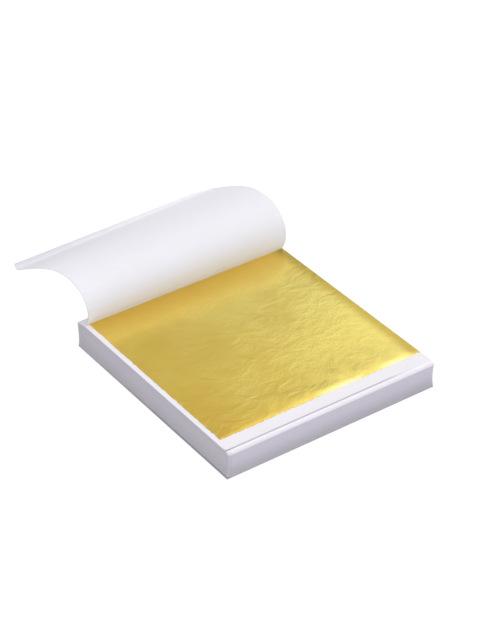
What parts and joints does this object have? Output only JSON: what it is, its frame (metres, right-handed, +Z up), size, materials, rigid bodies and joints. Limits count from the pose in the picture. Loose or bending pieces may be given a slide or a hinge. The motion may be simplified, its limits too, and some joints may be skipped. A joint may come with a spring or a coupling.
{
  "type": "gold leaf booklet",
  "caption": "Glued pad of thin papers with a square metal leaf on each and tissue interleaves; the top interleaf is turned back over the spine with its free edge curled up.",
  "frame": {"origin": "middle of the underside of the bottom card, on the surface the pad lies on", "axes": "+X along the binding to the side where the leaf is flush, +Y from the front edge to the glued spine, +Z up out of the open page"},
  "size_m": [0.0874, 0.1384, 0.0283],
  "materials": {
    "base_paper": "smooth uncoated base paper",
    "tissue": "thin glazed tissue, slightly see-through",
    "gold_leaf": "bright beaten leaf, finely wrinkled",
    "card": "thin uncoated card",
    "padding_glue": "dried white padding glue"
  },
  "bodies": {
    "pad": {"bottom_card": "card", "spine_glue": "padding_glue", "base_papers_1": "base_paper", "base_papers_2": "base_paper", "base_papers_3": "base_paper", "base_papers_4": "base_paper", "base_papers_5": "base_paper", "base_papers_6": "base_paper", "base_papers_7": "base_paper", "base_papers_8": "base_paper", "base_papers_9": "base_paper", "gold_leaves_1": "gold_leaf", "gold_leaves_2": "gold_leaf", "gold_leaves_3": "gold_leaf", "gold_leaves_4": "gold_leaf", "gold_leaves_5": "gold_leaf", "gold_leaves_6": "gold_leaf", "gold_leaves_7": "gold_leaf", "gold_leaves_8": "gold_leaf", "gold_leaves_9": "gold_leaf", "interleaves_1": "tissue", "interleaves_2": "tissue", "interleaves_3": "tissue", "interleaves_4": "tissue", "interleaves_5": "tissue", "interleaves_6": "tissue", "interleaves_7": "tissue", "interleaves_8": "tissue", "interleaves_9": "tissue", "top_paper_bound_strip": "base_paper", "top_interleaf_bound_strip": "tissue"},
    "page": {"top_paper": "base_paper"},
    "leaf": {"top_gold_leaf": "gold_leaf"},
    "interleaf_1": {"top_interleaf_fold_1": "tissue"},
    "interleaf_2": {"top_interleaf_fold_2": "tissue"},
    "interleaf_3": {"top_interleaf_fold_3": "tissue"},
    "interleaf_4": {"top_interleaf_fold_4": "tissue"},
    "interleaf_5": {"top_interleaf_fold_5": "tissue"},
    "interleaf_6": {"top_interleaf_curled_edge": "tissue"}
  },
  "joints": [
    {"name": "page_lift", "type": "hinge", "parent": "pad", "child": "page", "pos_m": [0, 0.0424, 0.01032], "axis": [-1, 0, 0], "range_deg": [0, 8]},
    {"name": "leaf_slide", "type": "slide", "parent": "page", "child": "leaf", "axis": [1, 0, 0], "range_m": [0, 0.085]},
    {"name": "interleaf_turn", "type": "hinge", "parent": "page", "child": "interleaf_1", "pos_m": [0.00072, 0.0424, 0.01055], "axis": [1, 0, 0], "range_deg": [0, 57.8]},
    {"name": "interleaf_unroll_2", "type": "hinge", "parent": "interleaf_1", "child": "interleaf_2", "pos_m": [0.00072, 0.0409, 0.019], "axis": [0.9996, -0.0056, 0.0275], "range_deg": [0, 83.8]},
    {"name": "interleaf_unroll_3", "type": "hinge", "parent": "interleaf_2", "child": "interleaf_3", "pos_m": [0.00072, 0.04674, 0.02515], "axis": [0.9991, 0.0069, 0.0417], "range_deg": [0, 39.4]},
    {"name": "interleaf_unroll_4", "type": "hinge", "parent": "interleaf_3", "child": "interleaf_4", "pos_m": [0.00072, 0.05532, 0.02628], "axis": [0.9989, 0.0169, 0.0434], "range_deg": [0, 13.1]},
    {"name": "interleaf_unroll_5", "type": "hinge", "parent": "interleaf_4", "child": "interleaf_5", "pos_m": [0.00072, 0.06382, 0.02428], "axis": [0.9989, 0.0178, 0.0434], "range_deg": [0, 9.2]},
    {"name": "interleaf_unroll_6", "type": "hinge", "parent": "interleaf_5", "child": "interleaf_6", "pos_m": [0.00072, 0.07469, 0.01929], "axis": [0.9988, 0.0052, 0.0494], "range_deg": [0, 3.6]}
  ],
  "couplings": [
    {"joint": "interleaf_unroll_2", "follows": "interleaf_turn", "ratio": 1.4446},
    {"joint": "interleaf_unroll_3", "follows": "interleaf_turn", "ratio": 0.67647},
    {"joint": "interleaf_unroll_4", "follows": "interleaf_turn", "ratio": 0.22145},
    {"joint": "interleaf_unroll_5", "follows": "interleaf_turn", "ratio": 0.15398},
    {"joint": "interleaf_unroll_6", "follows": "interleaf_turn", "ratio": 0.05709}
  ]
}
